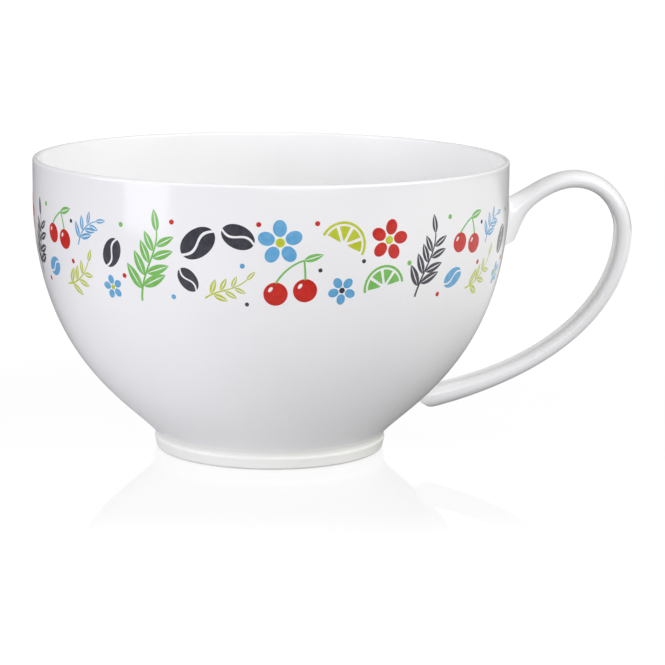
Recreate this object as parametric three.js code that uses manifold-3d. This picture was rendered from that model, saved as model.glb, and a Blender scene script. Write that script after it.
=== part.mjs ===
// Jumbo porcelain cup: a round bowl on a low foot ring, with a loop handle stuck on with slip.
// Millimetres, +Z up. The cup stands on its foot ring at z = 0 and its handle points along +X.
// The origin is on the table, under the middle of the whole cup, handle included.
import * as THREE from 'three';
import { mergeVertices } from 'three/addons/utils/BufferGeometryUtils.js';
import loadSolids from 'manifold-3d';

// Bowl
const CUP_HEIGHT = 74.4; // table to the top of the rim
const RIM_RADIUS = 60; // outside of the straight band under the rim
const RIM_WALL = 2.4; // wall at the rim, whose edge is a full round
const LOWER_WALL = 4; // wall where the bowl runs into its floor
const FLOOR_THICKNESS = 4.5; // at the middle of the bowl
const FLOOR_TURN_HEIGHT = 6; // height over the floor where the inside starts to round into it
const STRAIGHT_BAND = 9.4; // upright band of wall under the rim
const SIDE_PULL = 42.5; // how far down the side holds its width before it turns in
const BASE_PULL = 9.4; // how far the bowl holds the slope that it leaves its base with
const BASE_SLOPE = 57; // degrees, that slope against the table
const BASE_RADIUS = 28.6; // flat base of the bowl

// Foot ring
const FOOT_HEIGHT = 3.1;
const FOOT_LIP_OVERHANG = 0.9; // how far the ring's top edge stands out past the base of the bowl
const FOOT_LIP_BEVEL = 0.2; // broken edge of that lip
const FOOT_WIDTH = 4.8; // ring from its lip to its bore
const FOOT_SIDE_TAPER = 0.4; // how far the side draws in from the lip to the turn
const FOOT_TURN_RADIUS = 0.9; // round turn from the side into the standing face
const FOOT_BORE_BEVEL = 1; // broken edge between the bore and the standing face
const FOOT_SLIP_THICKNESS = 0.35; // slip that holds the ring on
const FOOT_SLIP_INSET = 0.3; // how far the slip stays inside the bowl's base and the ring's bore

// Handle, whose centre line lies in the plane of the cup's axis
const HANDLE_THICKNESS = 4.23; // across the strap, in that plane
const HANDLE_WIDTH = 9.4; // square to that plane
const HANDLE_SQUARENESS = 2.6; // 2 is an oval strap, more is squarer
const CROWN_OUT = 16.8; // highest point of the loop, outside the rim
const CROWN_DROP = 5.05; // and below the top of the rim
const CROWN_PULL_IN = 7.7; // how long the line runs level on the cup's side of the crown
const CROWN_PULL_OUT = 10; // and on its far side
const REACH_OUT = 29.5; // outermost point of the loop, outside the rim
const REACH_DROP = 18.2; // and below the top of the rim
const REACH_PULL_UP = 3.2; // how long the line runs upright above that point
const REACH_PULL_DOWN = 19.1; // and below it
const UPPER_ROOT_DROP = 19.1; // where the line enters the wall, below the top of the rim
const UPPER_ROOT_SLOPE = 49.5; // degrees against the table
const UPPER_ROOT_PULL = 7.7;
const UPPER_ROOT_THICKNESS = 12.96; // of the flared root
const UPPER_ROOT_FLARE = 7.8; // length over which it flares
const LOWER_ROOT_HEIGHT = 10.95; // where the line enters the wall, above the table
const LOWER_ROOT_SLOPE = 10.4;
const LOWER_ROOT_PULL = 39.9;
const LOWER_ROOT_THICKNESS = 5.86;
const LOWER_ROOT_FLARE = 24;
const ROOT_WIDTH = 11; // width of both roots
const ROOT_SINK = 4; // how far the untrimmed ends run in past the wall's outside
const HANDLE_SLIP_THICKNESS = 0.6; // slip that holds the handle on
const JOINT_GAP = 0.3; // left free on each side of that slip

// How finely the round forms are cut
const ROUND_STEPS = 60;
const SIDE_STEPS = 16;
const EDGE_STEPS = 6;
const FLOOR_STEPS = 6;
const HANDLE_STEPS = 48;
const SECTION_STEPS = 20;
const ROOT_SHARE = 0.3; // share of the handle's length that holds one root
const WELD_DISTANCE = 1e-4;

const BASE_HEIGHT = FOOT_HEIGHT + FOOT_SLIP_THICKNESS;
const FLOOR_HEIGHT = BASE_HEIGHT + FLOOR_THICKNESS;

const solids = await loadSolids();
solids.setup();

const point = (x, y) => new THREE.Vector2(x, y);
const radians = THREE.MathUtils.degToRad;

function weld(geometry) {
  geometry.deleteAttribute('normal');
  geometry.deleteAttribute('uv');
  const welded = mergeVertices(geometry, WELD_DISTANCE);
  const corners = [...welded.index.array];
  const kept = [];
  for (let i = 0; i < corners.length; i += 3) {
    const [a, b, c] = corners.slice(i, i + 3);
    if (a !== b && b !== c && c !== a) kept.push(a, b, c);
  }
  welded.setIndex(kept);
  return welded;
}

// Solid of revolution about +Z, from an outline of (radius, height) that runs with the clay on its left
function revolve(outline) {
  const turned = new THREE.LatheGeometry(outline, ROUND_STEPS);
  turned.rotateX(Math.PI / 2);
  return weld(turned);
}

function toSolid(geometry) {
  return new solids.Manifold(new solids.Mesh({
    numProp: 3,
    vertProperties: new Float32Array(geometry.attributes.position.array),
    triVerts: new Uint32Array(geometry.index.array),
  }));
}

function toGeometry(solid) {
  const mesh = solid.getMesh();
  const geometry = new THREE.BufferGeometry();
  geometry.setAttribute('position', new THREE.BufferAttribute(mesh.vertProperties, mesh.numProp));
  geometry.setIndex(new THREE.BufferAttribute(mesh.triVerts, 1));
  return geometry;
}

function porcelain(name, geometry, color, roughness) {
  const shaded = geometry.toNonIndexed();
  shaded.computeVertexNormals();
  const mesh = new THREE.Mesh(shaded, new THREE.MeshStandardMaterial({ color, roughness, metalness: 0 }));
  mesh.name = name;
  return mesh;
}

// Outside of the bowl, from its base up to the straight band
const baseSlope = radians(BASE_SLOPE);
const sideCurve = new THREE.CubicBezierCurve(
  point(BASE_RADIUS, BASE_HEIGHT),
  point(BASE_RADIUS + BASE_PULL * Math.cos(baseSlope), BASE_HEIGHT + BASE_PULL * Math.sin(baseSlope)),
  point(RIM_RADIUS, CUP_HEIGHT - STRAIGHT_BAND - SIDE_PULL),
  point(RIM_RADIUS, CUP_HEIGHT - STRAIGHT_BAND),
);

const side = [];
for (let step = 0; step <= SIDE_STEPS; step++) {
  const share = step / SIDE_STEPS;
  const along = sideCurve.getTangent(share);
  side.push({ share, place: sideCurve.getPoint(share), along, outward: point(along.y, -along.x) });
}

// Outside of the bowl moved out square to itself
function grownSide(distance) {
  return side.map(({ place, outward }) => place.clone().addScaledVector(outward, distance));
}

// Whole space inside the bowl's outside, grown by a distance
function bowlSpace(distance) {
  return toSolid(revolve([
    point(0, BASE_HEIGHT - distance),
    ...grownSide(distance),
    point(RIM_RADIUS + distance, CUP_HEIGHT + distance),
    point(0, CUP_HEIGHT + distance),
  ]));
}

function bowlRadiusAt(height) {
  const above = side.findIndex(({ place }) => place.y >= height);
  const high = side[above].place;
  const low = side[above - 1].place;
  return THREE.MathUtils.mapLinear(height, low.y, high.y, low.x, high.x);
}

function makeBowl() {
  const rimRadius = RIM_WALL / 2;
  const rim = new THREE.Path().absarc(RIM_RADIUS - rimRadius, CUP_HEIGHT - rimRadius, rimRadius, 0, Math.PI);
  const inside = [...side].reverse()
    .map(({ share, place, along, outward }) => {
      const wall = THREE.MathUtils.lerp(LOWER_WALL, RIM_WALL, share);
      return { place: place.clone().addScaledVector(outward, -wall), along };
    })
    .filter(({ place }) => place.y > FLOOR_HEIGHT + FLOOR_TURN_HEIGHT);
  const last = inside.at(-1);
  const floorEdge = last.place.x - last.along.x * (last.place.y - FLOOR_HEIGHT) / last.along.y;
  const floor = new THREE.QuadraticBezierCurve(last.place, point(floorEdge, FLOOR_HEIGHT), point(0, FLOOR_HEIGHT));
  return revolve([
    point(0, BASE_HEIGHT),
    ...grownSide(0),
    ...rim.getPoints(EDGE_STEPS),
    ...inside.map(({ place }) => place),
    ...floor.getPoints(FLOOR_STEPS).slice(1),
  ]);
}

function makeFootRing() {
  const lipRadius = BASE_RADIUS + FOOT_LIP_OVERHANG;
  const boreRadius = lipRadius - FOOT_WIDTH;
  const turnRadius = lipRadius - FOOT_SIDE_TAPER - FOOT_TURN_RADIUS;
  const turn = new THREE.Path().absarc(turnRadius, FOOT_TURN_RADIUS, FOOT_TURN_RADIUS, -Math.PI / 2, 0);
  const start = point(boreRadius + FOOT_BORE_BEVEL, 0);
  return revolve([
    start,
    ...turn.getPoints(EDGE_STEPS),
    point(lipRadius, FOOT_HEIGHT - FOOT_LIP_BEVEL),
    point(lipRadius - FOOT_LIP_BEVEL, FOOT_HEIGHT),
    point(boreRadius, FOOT_HEIGHT),
    point(boreRadius, FOOT_BORE_BEVEL),
    start.clone(),
  ]);
}

function makeFootSlip() {
  const outerRadius = BASE_RADIUS - FOOT_SLIP_INSET;
  const innerRadius = BASE_RADIUS + FOOT_LIP_OVERHANG - FOOT_WIDTH + FOOT_SLIP_INSET;
  const start = point(innerRadius, FOOT_HEIGHT);
  return revolve([
    start,
    point(outerRadius, FOOT_HEIGHT),
    point(outerRadius, BASE_HEIGHT),
    point(innerRadius, BASE_HEIGHT),
    start.clone(),
  ]);
}

// Centre line of the handle in (distance from the axis, height), from its upper root to its lower root
function handleLine() {
  const upperHeight = CUP_HEIGHT - UPPER_ROOT_DROP;
  const upperRoot = point(bowlRadiusAt(upperHeight) - ROOT_SINK, upperHeight);
  const lowerRoot = point(bowlRadiusAt(LOWER_ROOT_HEIGHT) - ROOT_SINK, LOWER_ROOT_HEIGHT);
  const crown = point(RIM_RADIUS + CROWN_OUT, CUP_HEIGHT - CROWN_DROP);
  const reach = point(RIM_RADIUS + REACH_OUT, CUP_HEIGHT - REACH_DROP);
  const pulled = (from, degrees, length) => {
    const angle = radians(degrees);
    return point(from.x + length * Math.cos(angle), from.y + length * Math.sin(angle));
  };
  const line = new THREE.CurvePath();
  line.add(new THREE.CubicBezierCurve(
    upperRoot, pulled(upperRoot, UPPER_ROOT_SLOPE, UPPER_ROOT_PULL), pulled(crown, 180, CROWN_PULL_IN), crown));
  line.add(new THREE.CubicBezierCurve(
    crown, pulled(crown, 0, CROWN_PULL_OUT), pulled(reach, 90, REACH_PULL_UP), reach));
  line.add(new THREE.CubicBezierCurve(
    reach, pulled(reach, -90, REACH_PULL_DOWN), pulled(lowerRoot, LOWER_ROOT_SLOPE, LOWER_ROOT_PULL), lowerRoot));
  return line;
}

const centreLine = handleLine();
const centreLength = centreLine.getLength();

// Half thickness and half width of the strap at a share of its length
function strapSize(share) {
  const upper = Math.exp(-((share * centreLength / UPPER_ROOT_FLARE) ** 2));
  const lower = Math.exp(-(((1 - share) * centreLength / LOWER_ROOT_FLARE) ** 2));
  const thickness = HANDLE_THICKNESS
    + (UPPER_ROOT_THICKNESS - HANDLE_THICKNESS) * upper
    + (LOWER_ROOT_THICKNESS - HANDLE_THICKNESS) * lower;
  const width = HANDLE_WIDTH + (ROOT_WIDTH - HANDLE_WIDTH) * Math.max(upper, lower);
  return { halfThickness: thickness / 2, halfWidth: width / 2 };
}

const rounded = (value) => Math.sign(value) * Math.abs(value) ** (2 / HANDLE_SQUARENESS);

// Strap between two shares of the handle's length, as rings of points closed by a fan at each end
function strap(from, to) {
  const rings = Math.ceil(HANDLE_STEPS * (to - from));
  const places = [];
  const faces = [];
  for (let ring = 0; ring <= rings; ring++) {
    const share = THREE.MathUtils.lerp(from, to, ring / rings);
    const middle = centreLine.getPointAt(share);
    const along = centreLine.getTangentAt(share);
    const { halfThickness, halfWidth } = strapSize(share);
    for (let step = 0; step < SECTION_STEPS; step++) {
      const angle = step / SECTION_STEPS * 2 * Math.PI;
      const off = halfThickness * rounded(Math.cos(angle));
      places.push(middle.x - along.y * off, halfWidth * rounded(Math.sin(angle)), middle.y + along.x * off);
    }
  }
  for (let ring = 0; ring < rings; ring++) {
    for (let step = 0; step < SECTION_STEPS; step++) {
      const next = (step + 1) % SECTION_STEPS;
      const a = ring * SECTION_STEPS + step;
      const b = ring * SECTION_STEPS + next;
      const c = a + SECTION_STEPS;
      const d = b + SECTION_STEPS;
      faces.push(a, c, b, b, c, d);
    }
  }
  const lastRing = rings * SECTION_STEPS;
  for (let step = 1; step < SECTION_STEPS - 1; step++) {
    faces.push(0, step, step + 1);
    faces.push(lastRing, lastRing + step + 1, lastRing + step);
  }
  const geometry = new THREE.BufferGeometry();
  geometry.setAttribute('position', new THREE.Float32BufferAttribute(places, 3));
  geometry.setIndex(faces);
  return toSolid(geometry);
}

const slipInside = JOINT_GAP;
const slipOutside = slipInside + HANDLE_SLIP_THICKNESS;
const handleInside = slipOutside + JOINT_GAP;

function makeHandle() {
  return toGeometry(strap(0, 1).subtract(bowlSpace(handleInside)));
}

// Slip between the wall and one root, with the root's own outline
function makeHandleSlip(from, to) {
  const layer = bowlSpace(slipOutside).subtract(bowlSpace(slipInside));
  return toGeometry(strap(from, to).intersect(layer));
}

const GLAZED_WHITE = 0xf4f3f1;
const SLIP_WHITE = 0xebe9e4;
const GLAZE_ROUGHNESS = 0.12;
const SLIP_ROUGHNESS = 0.5;

const cup = new THREE.Group();
cup.add(
  porcelain('bowl', makeBowl(), GLAZED_WHITE, GLAZE_ROUGHNESS),
  porcelain('foot_ring', makeFootRing(), GLAZED_WHITE, GLAZE_ROUGHNESS),
  porcelain('foot_slip', makeFootSlip(), SLIP_WHITE, SLIP_ROUGHNESS),
  porcelain('handle', makeHandle(), GLAZED_WHITE, GLAZE_ROUGHNESS),
  porcelain('upper_handle_slip', makeHandleSlip(0, ROOT_SHARE), SLIP_WHITE, SLIP_ROUGHNESS),
  porcelain('lower_handle_slip', makeHandleSlip(1 - ROOT_SHARE, 1), SLIP_WHITE, SLIP_ROUGHNESS),
);
cup.position.x = -new THREE.Box3().setFromObject(cup).getCenter(new THREE.Vector3()).x;

const part = new THREE.Group();
part.add(cup);

export default part;
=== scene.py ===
# %% [markdown]
# # A jumbo porcelain cup
# A potter makes this cup from three clay pieces and joins them with slip: a bowl, a foot ring and a strap
# handle. The frame loaded here holds those pieces as plain solids at their real size, in metres, with +Z
# up and the handle along +X. The lesson lays smooth glazed forms over them, prints a band of colour on
# the glaze and lights the cup on a white table. Keeping every size tied to the frame means nothing has to
# be fitted by eye afterwards.

# %% Load the frame
import math

import bmesh
import bpy
from mathutils import Matrix, Vector
from mathutils.geometry import delaunay_2d_cdt


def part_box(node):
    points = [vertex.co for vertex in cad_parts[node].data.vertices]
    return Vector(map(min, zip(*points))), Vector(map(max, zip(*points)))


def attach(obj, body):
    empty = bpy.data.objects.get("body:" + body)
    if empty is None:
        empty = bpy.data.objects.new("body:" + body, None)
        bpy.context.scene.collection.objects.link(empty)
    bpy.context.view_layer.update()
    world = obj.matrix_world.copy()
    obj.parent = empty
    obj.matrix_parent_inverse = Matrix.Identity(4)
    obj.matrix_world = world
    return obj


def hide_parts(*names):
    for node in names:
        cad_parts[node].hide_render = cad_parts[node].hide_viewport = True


MM = 0.001
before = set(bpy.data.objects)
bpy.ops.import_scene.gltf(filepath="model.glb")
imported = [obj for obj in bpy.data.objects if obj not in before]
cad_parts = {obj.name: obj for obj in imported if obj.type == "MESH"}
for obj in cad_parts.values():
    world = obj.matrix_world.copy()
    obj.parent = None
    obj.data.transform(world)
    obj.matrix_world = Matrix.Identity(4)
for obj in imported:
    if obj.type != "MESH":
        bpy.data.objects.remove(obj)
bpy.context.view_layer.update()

# %% [markdown]
# ## Measures taken from the frame
# The bowl turns about its own axis, which isn't the frame's origin, because the handle counts in the
# frame's middle. The bowl's box gives that axis, the rim's radius and the height; the foot ring's box
# gives its lip. They could be typed in again, but a measure that is read can't drift from the solids. The
# wall is drawn a twentieth of a millimetre further in, so that the print on it stays inside the bowl's
# box.

# %% Read the cup's measures
bowl_low, bowl_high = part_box("bowl")
foot_low, foot_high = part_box("foot_ring")
PRINT_ROOM = 0.05 * MM
AXIS_X = (bowl_low.x + bowl_high.x) / 2
RIM_RADIUS = (bowl_high.y - bowl_low.y) / 2 - PRINT_ROOM
CUP_HEIGHT = bowl_high.z
BASE_HEIGHT = bowl_low.z
LIP_RADIUS = (foot_high.y - foot_low.y) / 2
FOOT_HEIGHT = foot_high.z
print(f"axis at x = {AXIS_X / MM:.2f} mm")
print(f"rim radius {RIM_RADIUS / MM:.1f} mm, height {CUP_HEIGHT / MM:.1f} mm")

# %% [markdown]
# ## The camera
# The photograph was taken with a long lens from a little above the rim, so the far and near edges of the
# rim look almost alike in width. A camera can be aimed with a Track To constraint, but that keeps the
# horizon level. Here the picture leans by less than a degree, so the camera's three axes are worked out
# from yaw, pitch and roll and put straight into its matrix.

# %% Place the camera
PHOTO_PIXELS = 665
FOCAL_PIXELS = 2511.8
SENSOR_MM = 36.0
CAMERA_BACK = 0.6313
CAMERA_HEIGHT = 0.1462
CAMERA_YAW = 0.02513
CAMERA_PITCH = 0.18312
CAMERA_ROLL = 0.01144


def make_camera():
    flat = math.cos(CAMERA_PITCH)
    forward = Vector((math.sin(CAMERA_YAW) * flat, math.cos(CAMERA_YAW) * flat, -math.sin(CAMERA_PITCH)))
    level = forward.cross(Vector((0, 0, 1))).normalized()
    top = level.cross(forward)
    right = math.cos(CAMERA_ROLL) * level + math.sin(CAMERA_ROLL) * top
    up = math.cos(CAMERA_ROLL) * top - math.sin(CAMERA_ROLL) * level
    data = bpy.data.cameras.new("photo_camera")
    data.sensor_width = SENSOR_MM
    data.lens = FOCAL_PIXELS * SENSOR_MM / PHOTO_PIXELS
    camera = bpy.data.objects.new("photo_camera", data)
    bpy.context.collection.objects.link(camera)
    turn = Matrix((right, up, -forward)).transposed().to_4x4()
    camera.matrix_world = Matrix.Translation((AXIS_X, -CAMERA_BACK, CAMERA_HEIGHT)) @ turn
    return camera


bpy.context.scene.camera = make_camera()
print(f"lens {bpy.context.scene.camera.data.lens:.1f} mm")

# %% [markdown]
# ## The bowl's outside
# From its base the bowl leaves the foot at a steep slope, swells, and runs into an upright band under the
# rim. One cubic Bezier curve with its end tangents set by those two directions gives that line with no
# flat spots. A hand-placed row of points could follow it too, but a gloss surface shows every small bend
# between such points.

# %% Draw the bowl's outside
BASE_RADIUS = 28.6 * MM
BASE_SLOPE = math.radians(57)
BASE_PULL = 9.4 * MM
STRAIGHT_BAND = 9.4 * MM
SIDE_PULL = 42.5 * MM
SIDE_STEPS = 90


def bezier(corners, steps):
    """Points on a Bezier curve of any degree, as vectors, from its first corner to its last."""
    points = []
    for step in range(steps + 1):
        share = step / steps
        level = [Vector(corner) for corner in corners]
        while len(level) > 1:
            level = [a.lerp(b, share) for a, b in zip(level, level[1:])]
        points.append(level[0])
    return points


base_point = Vector((BASE_RADIUS, BASE_HEIGHT))
band_point = Vector((RIM_RADIUS, CUP_HEIGHT - STRAIGHT_BAND))
wall_line = bezier([
    base_point,
    base_point + BASE_PULL * Vector((math.cos(BASE_SLOPE), math.sin(BASE_SLOPE))),
    band_point - Vector((0, SIDE_PULL)),
    band_point,
], SIDE_STEPS)
print(f"{len(wall_line)} points from radius {wall_line[0].x / MM:.1f} to {wall_line[-1].x / MM:.1f} mm")

# %% [markdown]
# ## Asking the wall where it is
# The handle's roots and the print have to lie on the wall, so two questions come back often: how wide is
# the bowl at a height, and how far is a point from its outside. Blender could answer with ray casts on
# the finished mesh. The line that was just drawn answers faster and exactly, because the bowl is round.

# %% Make the wall helpers
WALL_ROUNDS = 4


def side_normals(line):
    """The outward unit normal at each point of a line that runs up the outside."""
    normals = []
    for index in range(len(line)):
        before = line[max(index - 1, 0)]
        after = line[min(index + 1, len(line) - 1)]
        along = (after - before).normalized()
        normals.append(Vector((along.y, -along.x)))
    return normals


wall_normals = side_normals(wall_line)


def wall_at(height):
    """Radius of the bowl's outside at a height and its outward normal, in the (radius, height) plane."""
    if height >= wall_line[-1].y:
        return RIM_RADIUS, Vector((1, 0))
    for index in range(1, len(wall_line)):
        low, high = wall_line[index - 1], wall_line[index]
        if high.y >= height:
            share = (height - low.y) / (high.y - low.y)
            normal = wall_normals[index - 1].lerp(wall_normals[index], share).normalized()
            return low.lerp(high, share).x, normal


def wall_distance(place):
    """How far a point is outside the bowl's wall, negative inside, and the outward normal beside it."""
    across = Vector((place.x - AXIS_X, place.y))
    height = place.z
    for _ in range(WALL_ROUNDS):
        radius, normal = wall_at(height)
        gap = Vector((across.length - radius, place.z - height)).dot(normal)
        height = place.z - gap * normal.y
    outward = across.normalized() * normal.x
    return gap, Vector((outward.x, outward.y, normal.y))


print(f"half way up, the wall is {wall_at(CUP_HEIGHT / 2)[0] / MM:.2f} mm from the axis")

# %% [markdown]
# ## Turning an outline on the wheel
# Bowl and foot are both turned forms. Blender's Screw modifier turns a profile too, but a short function
# keeps the rings in order, closes the poles with one point each and lets each face take its material from
# its height, which the unglazed standing edge needs later.

# %% Make the wheel
WHEEL_STEPS = 288
POLE_RADIUS = 1e-7


def new_piece(name, build, materials):
    """A mesh object from a bmesh, smooth shaded, riding on the frame's one body."""
    mesh = bpy.data.meshes.new(name)
    bmesh.ops.recalc_face_normals(build, faces=build.faces[:])
    build.to_mesh(mesh)
    build.free()
    for material in materials:
        mesh.materials.append(material)
    piece = bpy.data.objects.new(name, mesh)
    bpy.context.collection.objects.link(piece)
    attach(piece, "root")
    return piece


def join_rings(build, first, second):
    """Quads between two rings of points, or triangles where one ring is a single point."""
    faces = []
    count = max(len(first), len(second))
    for step in range(count):
        after = (step + 1) % count
        if len(first) == 1:
            corners = (first[0], second[step], second[after])
        elif len(second) == 1:
            corners = (first[step], second[0], first[after])
        else:
            corners = (first[step], second[step], second[after], first[after])
        faces.append(build.faces.new(corners))
    return faces


def turn(name, outline, closed, materials, pick_material=lambda middle: 0):
    """A closed mesh from an outline of (radius, height), turned about the cup's axis."""
    build = bmesh.new()
    rings = []
    for point in outline:
        steps = 1 if point.x < POLE_RADIUS else WHEEL_STEPS
        ring = []
        for step in range(steps):
            angle = step / steps * math.tau
            place = (AXIS_X + point.x * math.cos(angle), point.x * math.sin(angle), point.y)
            ring.append(build.verts.new(place))
        rings.append(ring)
    pairs = list(zip(rings, rings[1:]))
    if closed:
        pairs.append((rings[-1], rings[0]))
    for first, second in pairs:
        for face in join_rings(build, first, second):
            face.smooth = True
            face.material_index = pick_material(face.calc_center_median())
    return new_piece(name, build, materials)


print(f"the wheel makes {WHEEL_STEPS} steps a turn")

# %% [markdown]
# ## The glaze
# The real glaze is a clear glass skin over white clay: a clean white with a faint warm cloudiness, a soft
# gloss, and a surface that is not quite flat, so reflections waver a little. A glass shell over a clay
# body would be the literal way. A Principled shader with porcelain's refractive index does the same with
# one surface, and three noises at different scales bring the cloudiness, the uneven gloss and the waver.

# %% Make the shader helpers
NOISE_LOW = 0.35
NOISE_HIGH = 0.65


def noise(tree, scale, detail):
    """A noise over the object's own metres, so that a scale of 50 makes spots about 20 mm wide."""
    place = tree.nodes.new("ShaderNodeTexCoord")
    grain = tree.nodes.new("ShaderNodeTexNoise")
    grain.inputs["Scale"].default_value = scale
    grain.inputs["Detail"].default_value = detail
    tree.links.new(place.outputs["Object"], grain.inputs["Vector"])
    return grain.outputs["Fac"]


def between(tree, factor, low, high):
    """A colour between two, by a noise that mostly stays between its low and its high."""
    ramp = tree.nodes.new("ShaderNodeValToRGB")
    ramp.color_ramp.elements[0].position = NOISE_LOW
    ramp.color_ramp.elements[0].color = low
    ramp.color_ramp.elements[1].position = NOISE_HIGH
    ramp.color_ramp.elements[1].color = high
    tree.links.new(factor, ramp.inputs["Fac"])
    return ramp.outputs["Color"]


def map_range(tree, value, source, target, kind="LINEAR"):
    """A value that runs through the target's two numbers while another runs through the source's."""
    spread = tree.nodes.new("ShaderNodeMapRange")
    spread.interpolation_type = kind
    for word, number in zip(("From Min", "From Max", "To Min", "To Max"), (*source, *target)):
        spread.inputs[word].default_value = number
    tree.links.new(value, spread.inputs["Value"])
    return spread.outputs["Result"]


def bump(tree, height, depth):
    """A normal from a height of 0 to 1 that stands for a depth in metres."""
    relief = tree.nodes.new("ShaderNodeBump")
    relief.inputs["Distance"].default_value = depth
    tree.links.new(height, relief.inputs["Height"])
    return relief.outputs["Normal"]


print(f"noises are spread from {NOISE_LOW} to {NOISE_HIGH}")

# %% Mix the glaze
GLAZE_IOR = 1.5
GLAZE_WHITE = (0.91, 0.907, 0.9, 1)
GLAZE_CLOUD = (0.888, 0.884, 0.876, 1)
GLAZE_ROUGHNESS = (0.11, 0.17)
CLOUD_NOISE = (38, 3)
GLOSS_NOISE = (90, 2)
WAVER_NOISE = (130, 2)
WAVER_DEPTH = 0.02 * MM


def clouded(name, deep, light, cloud, grain, depth):
    """A material whose colour wanders between two and whose skin isn't quite flat."""
    material = bpy.data.materials.new(name)
    material.use_nodes = True
    tree = material.node_tree
    shader = tree.nodes["Principled BSDF"]
    tree.links.new(between(tree, noise(tree, *cloud), deep, light), shader.inputs["Base Color"])
    tree.links.new(bump(tree, noise(tree, *grain), depth), shader.inputs["Normal"])
    return material, tree, shader


def glazed_porcelain(name, cloud, white, roughness):
    """A clouded white under a gloss whose roughness wanders between two values."""
    material, tree, shader = clouded(name, cloud, white, CLOUD_NOISE, WAVER_NOISE, WAVER_DEPTH)
    shader.inputs["IOR"].default_value = GLAZE_IOR
    gloss = map_range(tree, noise(tree, *GLOSS_NOISE), (NOISE_LOW, NOISE_HIGH), roughness)
    tree.links.new(gloss, shader.inputs["Roughness"])
    return material


glaze = glazed_porcelain("glazed_porcelain", GLAZE_CLOUD, GLAZE_WHITE, GLAZE_ROUGHNESS)
print("mixed", glaze.name)

# %% [markdown]
# ## The bowl
# The wall is thickest at the floor and thins towards a fine drinking edge, as a pressed bowl does, and
# its rim is a full round. The inside could be a second Bezier curve. Moving the outside line in along its
# own normals keeps the wall honest instead, and only the last stretch is drawn new: a curve that rolls
# into the level floor.

# %% Turn the bowl
RIM_WALL = 1.5 * MM
LOWER_WALL = 4.2 * MM
FLOOR_THICKNESS = 4.5 * MM
FLOOR_HEIGHT = BASE_HEIGHT + FLOOR_THICKNESS
FLOOR_TURN = 6 * MM
RIM_STEPS = 24
BAND_STEPS = 8
FLOOR_STEPS = 40
BASE_STEPS = 12


def arc(middle, radius, start, end, steps):
    """Points on an arc between two angles in degrees."""
    points = []
    for step in range(steps + 1):
        angle = math.radians(start + (end - start) * step / steps)
        points.append(middle + radius * Vector((math.cos(angle), math.sin(angle))))
    return points


def bowl_outline():
    rim_round = RIM_WALL / 2
    rim = arc(Vector((RIM_RADIUS - rim_round, CUP_HEIGHT - rim_round)), rim_round, 0, 180, RIM_STEPS)
    band = [band_point.lerp(rim[0], step / BAND_STEPS) for step in range(1, BAND_STEPS)]
    band_foot = band_point - Vector((RIM_WALL, 0))
    band_inside = [rim[-1].lerp(band_foot, step / BAND_STEPS) for step in range(1, BAND_STEPS)]
    inside = []
    for index in range(SIDE_STEPS, -1, -1):
        wall = LOWER_WALL + (RIM_WALL - LOWER_WALL) * index / SIDE_STEPS
        place = wall_line[index] - wall * wall_normals[index]
        if place.y > FLOOR_HEIGHT + FLOOR_TURN:
            inside.append(place)
    slope = (inside[-1] - inside[-2]).normalized()
    edge = inside[-1] + slope * ((FLOOR_HEIGHT - inside[-1].y) / slope.y)
    floor = bezier([inside[-1], edge, Vector((0, FLOOR_HEIGHT))], FLOOR_STEPS)
    base = [Vector((BASE_RADIUS * step / BASE_STEPS, BASE_HEIGHT)) for step in range(BASE_STEPS)]
    return base + wall_line + band + rim + band_inside + inside + floor[1:]


bowl = turn("glazed_bowl", bowl_outline(), False, [glaze])
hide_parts("bowl")
print(f"the bowl has {len(bowl.data.polygons)} faces")

# %% [markdown]
# ## The foot ring
# The ring stands out past the bowl's base as a small lip, draws in a little towards the table and rounds
# under. Its glaze is wiped thin, which leaves a satin skin in the clay's own warm white; that white is set
# a little darker than the bowl's glaze as painted shade on the foot. The standing edge is bare, because
# glaze would stick to the kiln shelf. Over the lip's soft shoulder the glaze has run together, so the
# outline goes on upwards as a hollow collar and ends inside the bowl: two turned pieces then read as one
# cup, and a boolean union isn't needed.

# %% Draw the foot ring's outline
SIDE_TAPER = 0.4 * MM
FOOT_TURN = 0.9 * MM
FOOT_WIDTH = 4.8 * MM
BORE_EDGE = 1 * MM
LIP_ROUND = 0.35 * MM
LIP_TURN = 60
SHOULDER_PULL = 0.3 * MM
HOLLOW_PULL = 1.4 * MM
COLLAR_HEIGHT = 1.8 * MM
COLLAR_SKIN = 0.03 * MM
COLLAR_SINK = 1.2 * MM
RING_SINK = 0.1 * MM
FOOT_SIDE_STEPS = 8
EDGE_STEPS = 10
COLLAR_STEPS = 24


def pulled(start, degrees, length):
    """The point at a length from a start, in the direction of an angle."""
    angle = math.radians(degrees)
    return start + length * Vector((math.cos(angle), math.sin(angle)))


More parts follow.
